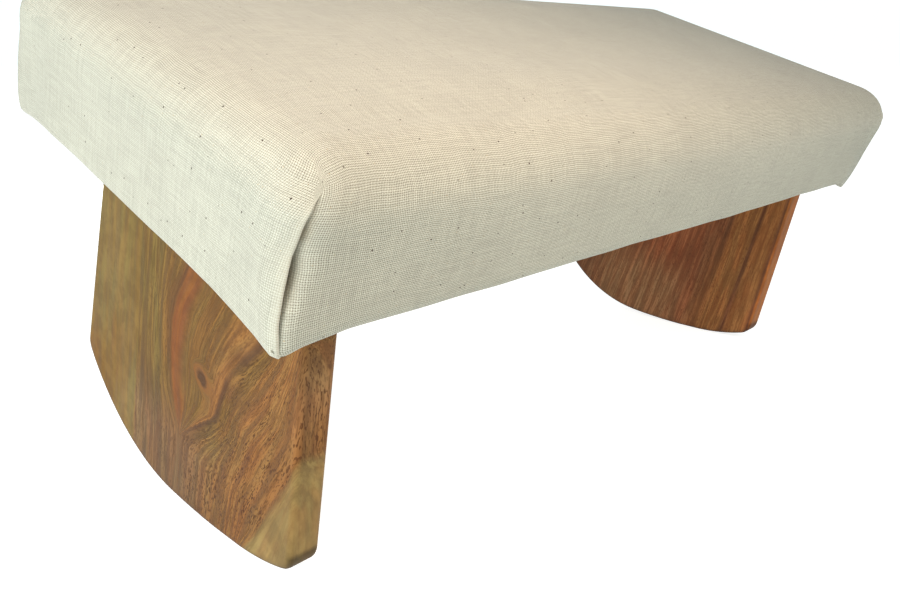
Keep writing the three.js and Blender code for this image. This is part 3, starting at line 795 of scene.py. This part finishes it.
def wood_figure(points, figure):
    """Each point's place in the grain (across, through, along) in metres, its tone (with painted shade
    along the foot) with porosity as alpha, and its distance from the knot in mm."""
    lines, patches, knot = figure
    x, y, z = (points / MM).T
    seat_tones, foot_tones, porosities, places, paths = zip(*lines)
    courses = [np.interp(-z, [-down for _, down in path], [at for at, _ in path]) for path in paths]
    for k in range(1, len(courses)):
        courses[k] = np.minimum(courses[k], courses[k - 1] - LINE_GAP)
    low = smooth_step((-z - FOOT_TONE) / FOOT_TONE_SPAN)[:, None]
    tones = [by_seat * (1 - low) + by_foot * low for by_seat, by_foot in zip(seat_tones, foot_tones)]
    across = np.full(len(points), float(places[0]))
    tone = tones[0].copy()
    pores = np.full(len(points), porosities[0])
    for k in range(len(lines) - 1):
        share = np.clip((courses[k] - y) / (courses[k] - courses[k + 1]), 0, 1)
        across += share * (places[k + 1] - places[k])
        pores += share * (porosities[k + 1] - porosities[k])
        tone += smooth_step(share)[:, None] * (tones[k + 1] - tones[k])
    for color, middle, spread, strength in patches:
        off = ((y - middle[0]) / spread[0]) ** 2 + ((z - middle[1]) / spread[1]) ** 2
        share = strength * np.exp(-off)
        tone += share[:, None] * (color - tone)
    away = np.full(len(points), 99.0)
    if knot:
        aside, up = y - knot[0], z - knot[1]
        away = np.hypot(0.75 * aside - 0.25 * up, 0.95 * up)
        calm = 1 - smooth_step((away - KNOT_REACH) / KNOT_EDGE)
        across = across * (1 - calm) + (away * KNOT_RINGS + KNOT_LINE) * calm
        pores *= 1 - calm
    outline = leg_outline()[1:-1] / MM
    from_foot = np.min([np.hypot(y - a, z - b) for a, b in outline], axis=0)
    # painted shade along the foot's edge
    tone *= (1 - FOOT_ARRIS_PAINTED_SHADE * np.exp(-((from_foot / FOOT_SHADE_WIDTH) ** 2)))[:, None]
    depth = x - LEG_INNER_FACE / MM
    grain = np.column_stack([across + GRAIN_SLANT * depth, depth, z]) * MM
    return grain, np.column_stack([tone, pores]), away


# ---- Materials ----
class Nodes:
    """Short ways to add nodes to a tree."""

    def __init__(self, tree):
        self.tree = tree

    def put(self, socket, value):
        if isinstance(value, bpy.types.NodeSocket):
            self.tree.links.new(value, socket)
        else:
            socket.default_value = value

    def node(self, kind, inputs=(), output=0, **settings):
        node = self.tree.nodes.new("ShaderNode" + kind)
        for name, value in settings.items():
            setattr(node, name, value)
        for key, value in dict(inputs).items():
            self.put(node.inputs[key], value)
        return node.outputs[output]

    def math(self, operation, a, b=0.0):
        return self.node("Math", {0: a, 1: b}, operation=operation)

    def times(self, a, b):
        return self.math("MULTIPLY", a, b)

    def plus(self, a, b):
        return self.math("ADD", a, b)

    def tinted(self, color, tint):
        return self.mix(1.0, color, tint, "MULTIPLY")

    def scaled(self, vector, x, y, z):
        return self.node("VectorMath", {0: vector, 1: (x, y, z)}, operation="MULTIPLY")

    def parts(self, vector):
        return tuple(self.node("SeparateXYZ", {0: vector}).node.outputs)

    def joined(self, x, y, z=0.0):
        return self.node("CombineXYZ", {0: x, 1: y, 2: z})

    def noise(self, vector, scale=1.0, detail=2.0, roughness=0.5):
        inputs = {"Vector": vector, "Scale": scale, "Detail": detail, "Roughness": roughness}
        return self.node("TexNoise", inputs)

    def ramp(self, value, low, high, first=0.0, last=1.0):
        inputs = {0: value, 1: low, 2: high, 3: first, 4: last}
        return self.node("MapRange", inputs, interpolation_type="SMOOTHSTEP")

    def mix(self, share, a, b, blend="MIX"):
        a, b = ((*c, 1) if isinstance(c, (tuple, np.ndarray)) and len(c) == 3 else c for c in (a, b))
        return self.node("Mix", {0: share, 6: a, 7: b}, output=2, data_type="RGBA", blend_type=blend)

    def attribute(self, name, output="Vector"):
        return self.node("Attribute", output=output, attribute_name=name)


class Shader(Nodes):
    """A material's node tree round one Principled shader."""

    def __init__(self, name, roughness=0.5, specular=0.5, metallic=0.0):
        self.material = bpy.data.materials.new(name)
        self.material.use_nodes = True
        super().__init__(self.material.node_tree)
        self.shader = self.tree.nodes["Principled BSDF"]
        self.set("Roughness", roughness)
        self.set("Specular IOR Level", specular)
        self.set("Metallic", metallic)

    def set(self, socket, value):
        self.put(self.shader.inputs[socket], value)

    def bump(self, height, strength, distance):
        inputs = {"Strength": strength, "Distance": distance, "Height": height}
        self.set("Normal", self.node("Bump", inputs))


SURROUND = 1.09  # brightness of the white surround at the horizon
SURROUND_COLOR = (0.92, 1.0, 1.0, 1)
CEILING = 0.23
FLOOR_GLOW = 0.75  # share of its brightness that the floor gives out itself, to stay white
THREAD = 0.7 * MM
CANVAS_COLOR = srgb(164, 167, 151)
# painted shade in the holes between the threads
HOLE_PAINTED_SHADE = srgb(80, 74, 52)
WEAVE_DRIFT = 3.0  # how many threads the weave wanders
# Seed flecks and bits of husk: places for them per metre, largest size, tone, strength
FLECKS = ((90, 0.035, srgb(58, 46, 36), 1.0), (150, 0.034, srgb(150, 132, 96), 0.7))
FOLD_PAINTED_SHADE = srgb(118, 102, 70)  # painted shade deep in the folds' openings
RIM_PAINTED_HIGHLIGHT = srgb(174, 175, 157)  # painted highlight where the canvas turns at the folded edge
WARM_TINT = (1.04, 0.985, 0.93)
OLIVE_TINT = (0.97, 1.04, 1.02)
DARK_TINT = (0.57, 0.51, 0.45)
LIGHT_TINT = (1.22, 1.21, 1.17)
PORE_TINT = (0.3, 0.23, 0.19)
BIRCH, BIRCH_STREAK, BIRCH_CLOUD = srgb(214, 188, 148), srgb(188, 158, 116), srgb(196, 160, 112)
BRASS, BRASS_WORN = srgb(214, 172, 98), srgb(168, 126, 66)
STEEL, STEEL_WORN = srgb(188, 190, 194), srgb(132, 134, 140)
HINGE_ARRIS = math.radians(35)  # edges of the hinges sharper than this stay sharp
FLOOR_COLOR = (0.98, 1.0, 1.0, 1)


def canvas_material():
    """Natural cotton canvas: plain weave with painted shade in its small holes, uneven threads and dark
    seed flecks.
    """
    look = Shader("cotton_canvas_look", roughness=0.9, specular=0.25)
    noise, ramp, mix, times, plus = look.noise, look.ramp, look.mix, look.times, look.plus
    look.set("Sheen Weight", 0.15)
    look.set("Sheen Roughness", 0.5)
    place = look.attribute("canvas")
    threads = look.scaled(place, 1 / THREAD, 1 / THREAD, 0)
    u, v, _ = look.parts(threads)
    drift = noise(threads, 0.05)
    u = plus(u, times(drift, WEAVE_DRIFT))
    v = plus(v, times(noise(look.scaled(threads, 1, -1, 1), 0.04), WEAVE_DRIFT))
    across_u = look.math("SINE", times(u, math.pi))
    across_v = look.math("SINE", times(v, math.pi))
    over = times(across_u, across_v)
    warp = times(look.math("ABSOLUTE", across_u), plus(1.0, over))
    weft = times(look.math("ABSOLUTE", across_v), look.math("SUBTRACT", 1.0, over))
    height = times(look.math("MAXIMUM", warp, weft), 0.5)
    slub_u = noise(look.joined(times(u, 0.8), times(v, 0.045)))
    slub_v = noise(look.joined(times(u, 0.045), times(v, 0.8)))
    slub = plus(slub_u, slub_v)
    cloud = noise(place, 22, 3)
    light = plus(ramp(slub, 0.7, 1.3, 0.9, 1.08), ramp(cloud, 0.3, 0.7, -0.03, 0.03))
    toward_end = look.math("ABSOLUTE", look.parts(look.node("TexCoord", output="Normal"))[0])
    end_panel_lightening = times(ramp(toward_end, 0.35, 0.9), 0.55)  # painted light: the end panels get less of the holes' painted shade
    closed = look.math("MAXIMUM", ramp(height, 0.1, 0.6), end_panel_lightening)
    # painted shade in the weave's holes, where its height is low
    color = mix(closed, HOLE_PAINTED_SHADE, CANVAS_COLOR)
    light = plus(light, times(over, 0.06))
    color = look.tinted(color, look.joined(light, light, light))
    for scale, size, tone, strength in FLECKS:
        inputs = {"Vector": look.scaled(place, 1, 1.25, 0), "Scale": scale}
        distance = look.node("TexVoronoi", inputs, "Distance", voronoi_dimensions="2D")
        pick = look.parts(distance.node.outputs["Color"])[0]
        limit = times(ramp(pick, 0.2, 0.9), size)
        near = look.math("SUBTRACT", limit, distance)
        color = mix(ramp(near, 0.0, 0.006, 0.0, strength), color, tone)
    # the depth attribute holds painted shade in the folds (above 0) and a painted highlight on their edges
    # (below 0)
    depth = look.attribute("depth", "Fac")
    color = mix(times(look.math("MAXIMUM", depth, 0), 0.8), color, FOLD_PAINTED_SHADE)
    # painted highlight on the folds' edges
    rim = times(look.math("MAXIMUM", times(depth, -1), 0), 0.5)
    look.set("Base Color", mix(rim, color, RIM_PAINTED_HIGHLIGHT))
    look.bump(plus(height, times(slub, 0.3)), 0.5, 0.18 * MM)
    return look.material


def leg_material():
    """Oiled hardwood: each vertex's tone, streaks that follow the grain, short dark pores and a knot."""
    look = Shader("oiled_hardwood_look", roughness=0.6, specular=0.1)
    noise, scaled, ramp, mix, times = look.noise, look.scaled, look.ramp, look.mix, look.times
    grain = look.attribute("grain")
    tone = look.attribute("tone", "Color")
    pores = look.attribute("tone", "Alpha")
    knot = look.attribute("knot", "Fac")
    broad = noise(scaled(grain, 330, 150, 16), 1, 3, 0.6)
    hue = noise(scaled(grain, 210, 120, 30))
    fine = noise(scaled(grain, 950, 600, 60))
    cloud = noise(scaled(grain, 60, 40, 30), 1, 3)
    mottle = noise(scaled(grain, 240, 240, 160), 1, 3)
    pore = noise(scaled(grain, 1900, 1300, 380), 1, 1)
    sparse = noise(scaled(grain, 160, 120, 60))
    tone = mix(ramp(hue, 0.38, 0.62), look.tinted(tone, WARM_TINT), look.tinted(tone, OLIVE_TINT))
    dark = look.tinted(tone, DARK_TINT)
    light = look.tinted(tone, LIGHT_TINT)
    color = mix(ramp(mottle, 0.35, 0.65, 0.3, 0.75), dark, light)
    lines = mix(ramp(broad, 0.4, 0.6), dark, light)
    color = mix(ramp(pores, 0.0, 0.5, 0.3, 0.75), color, lines)
    fibres = times(ramp(fine, 0.46, 0.64), ramp(pores, 0.0, 0.4, 0.15, 0.8))
    color = mix(fibres, color, dark)
    color = mix(ramp(cloud, 0.35, 0.7, 0.0, 0.3), color, dark)
    dots = times(ramp(pore, 0.52, 0.61), ramp(sparse, 0.4, 0.6, 0.45, 1.0))
    dots = times(dots, times(pores, 0.95))
    color = mix(dots, color, look.tinted(tone, PORE_TINT))

    wander = noise(look.attribute("place"), 260, 3)
    rough = look.plus(knot, times(look.math("SUBTRACT", wander, 0.5), 2.6))
    rings = ramp(look.math("SINE", times(rough, 2.6)), -0.1, 0.9)
    rings = times(rings, ramp(rough, 2.0, 7.0, 0.7, 0.0))
    color = mix(ramp(rough, 3.0, 6.5, 0.7, 0.0), color, AMBER)
    color = mix(rings, color, SHADE)
    color = mix(ramp(rough, 2.2, 3.4, 1.0, 0.0), color, BARK)
    look.set("Base Color", color)
    look.set("Roughness", ramp(broad, 0.3, 0.7, 0.5, 0.64))
    height = look.math("SUBTRACT", times(fine, 0.4), dots)
    look.bump(height, 0.35, 0.15 * MM)
    return look.material


def board_material():
    """Plain birch plywood, seen only from below."""
    look = Shader("birch_board_look", roughness=0.65, specular=0.3)
    place = look.node("TexCoord", output="Object")
    streak = look.noise(look.scaled(place, 14, 260, 260), 1, 4, 0.6)
    cloud = look.noise(place, 9)
    color = look.mix(look.ramp(streak, 0.3, 0.7), BIRCH_STREAK, BIRCH)
    color = look.mix(look.ramp(cloud, 0.35, 0.7, 0.0, 0.35), color, BIRCH_CLOUD)
    look.set("Base Color", color)
    look.bump(streak, 0.2, 0.2 * MM)
    return look.material


def metal_material(name, color, worn, roughness):
    """Brushed metal with faint streaks and slight tarnish."""
    look = Shader(name, metallic=1.0)
    place = look.node("TexCoord", output="Object")
    streak = look.noise(look.scaled(place, 300, 2500, 2500), 1, 3)
    cloud = look.noise(place, 120, 3)
    look.set("Base Color", look.mix(look.ramp(cloud, 0.4, 0.75, 0.0, 0.6), color, worn))
    look.set("Roughness", look.ramp(streak, 0.3, 0.7, roughness - 0.06, roughness + 0.1))
    look.bump(streak, 0.08, 0.1 * MM)
    return look.material


def floor_material():
    look = Shader("studio_floor_look", roughness=0.95, specular=0.1)
    place = look.node("TexCoord", output="Object")
    look.set("Base Color", look.mix(look.noise(place, 3), (0.545, 0.545, 0.545), (0.555, 0.555, 0.555)))
    look.set("Emission Color", FLOOR_COLOR)
    look.set("Emission Strength", FLOOR_GLOW * SURROUND)
    return look.material


# ---- Stage, lights and camera ----
CAMERA_PLACE = Vector((-348.2, -285.4, 197.4)) * MM
CAMERA_AZIMUTH = math.radians(45.47)  # the way it looks, from +Y towards +X
CAMERA_DOWN = math.radians(17.04)
LENS_MM = 32.5
FLOOR_REACH = 12
FLOOR_CELLS = 12
HORIZON, OVERHEAD = 0.15, 0.85  # heights on the surround between which it darkens
# Lamps: name, place, what it is aimed at, width, power in watts and colour
LIGHTS = (
    ("end_light", (-0.7, -0.12, 0.3), (-0.2, -0.02, 0.12), 0.3, 4.0, (0.96, 0.93, 0.97)),
    ("rear_light", (0.25, 0.95, 0.1), (0.05, 0, 0.12), 0.5, 4.5, (1.0, 0.93, 0.9)),
    ("top_light", (-0.154, -0.286, 0.452), (-0.05, -0.05, 0.2), 0.15, 2.26, (1.0, 0.75, 0.65)),
)


def build_stage():
    """A wide pale floor under a white surround that darkens overhead."""
    lines = np.linspace(-FLOOR_REACH, FLOOR_REACH, FLOOR_CELLS + 1)
    points = [(x, y, 0) for x in lines for y in lines]
    index = np.arange(len(points)).reshape(len(lines), -1)
    floor = new_piece("studio_floor", points, grid_faces(index))
    floor.data.materials.append(floor_material())
    world = bpy.data.worlds.new("studio")
    bpy.context.scene.world = world
    world.use_nodes = True
    nodes = Nodes(world.node_tree)
    up = nodes.parts(nodes.node("TexCoord", output="Generated"))[2]
    inputs = {0: up, 1: HORIZON, 2: OVERHEAD, 3: SURROUND, 4: CEILING}
    background = nodes.tree.nodes["Background"].inputs
    nodes.put(background["Strength"], nodes.node("MapRange", inputs))
    nodes.put(background["Color"], SURROUND_COLOR)


def placed(name, data, place, ahead):
    """A lamp or camera at a place, looking ahead."""
    thing = bpy.data.objects.new(name, data)
    bpy.context.scene.collection.objects.link(thing)
    thing.location = place
    thing.rotation_mode = "QUATERNION"
    thing.rotation_quaternion = ahead.to_track_quat("-Z", "Y")
    return thing


def area_light(name, place, aim, size, power, color):
    light = bpy.data.lights.new(name, "AREA")
    light.shape = "DISK"
    light.size = size
    light.energy = power
    light.color = color
    placed(name, light, place, Vector(aim) - Vector(place))


def build_camera():
    data = bpy.data.cameras.new("camera")
    data.lens = LENS_MM
    data.sensor_width = 36
    data.clip_start = 0.01
    level = math.cos(CAMERA_DOWN)
    aside, forth = math.sin(CAMERA_AZIMUTH) * level, math.cos(CAMERA_AZIMUTH) * level
    ahead = Vector((aside, forth, -math.sin(CAMERA_DOWN)))
    bpy.context.scene.camera = placed("camera", data, CAMERA_PLACE, ahead)


# ---- Assembly ----
build_camera()
build_stage()
for lamp in LIGHTS:
    area_light(*lamp)

cover = build_cover()
cover.data.materials.append(canvas_material())
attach(cover, "seat")
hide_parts("seat_cover", "foam_pad")

hardwood = leg_material()
figures = {"left": (LEFT_GRAIN, LEFT_PATCHES, LEFT_KNOT), "right": (RIGHT_GRAIN, RIGHT_PATCHES, None)}
for side, figure in figures.items():
    leg = build_leg(side, figure)
    leg.data.materials.append(hardwood)
    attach(leg, f"{side}_leg")
    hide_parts(f"{side}_rocker_leg")

board = board_material()
brass = metal_material("hinge_brass_look", BRASS, BRASS_WORN, 0.32)
steel = metal_material("staple_steel_look", STEEL, STEEL_WORN, 0.35)
for name, node in frame["nodes"].items():
    finish = board if name == "seat_board" else steel if name.startswith("staple") else brass
    node.data.materials.clear()
    node.data.materials.append(finish)
    if "hinge" in name:
        node.data.shade_smooth()
        node.data.set_sharp_from_angle(angle=HINGE_ARRIS)

bpy.context.scene.view_settings.view_transform = "Standard"
bpy.context.view_layer.update()
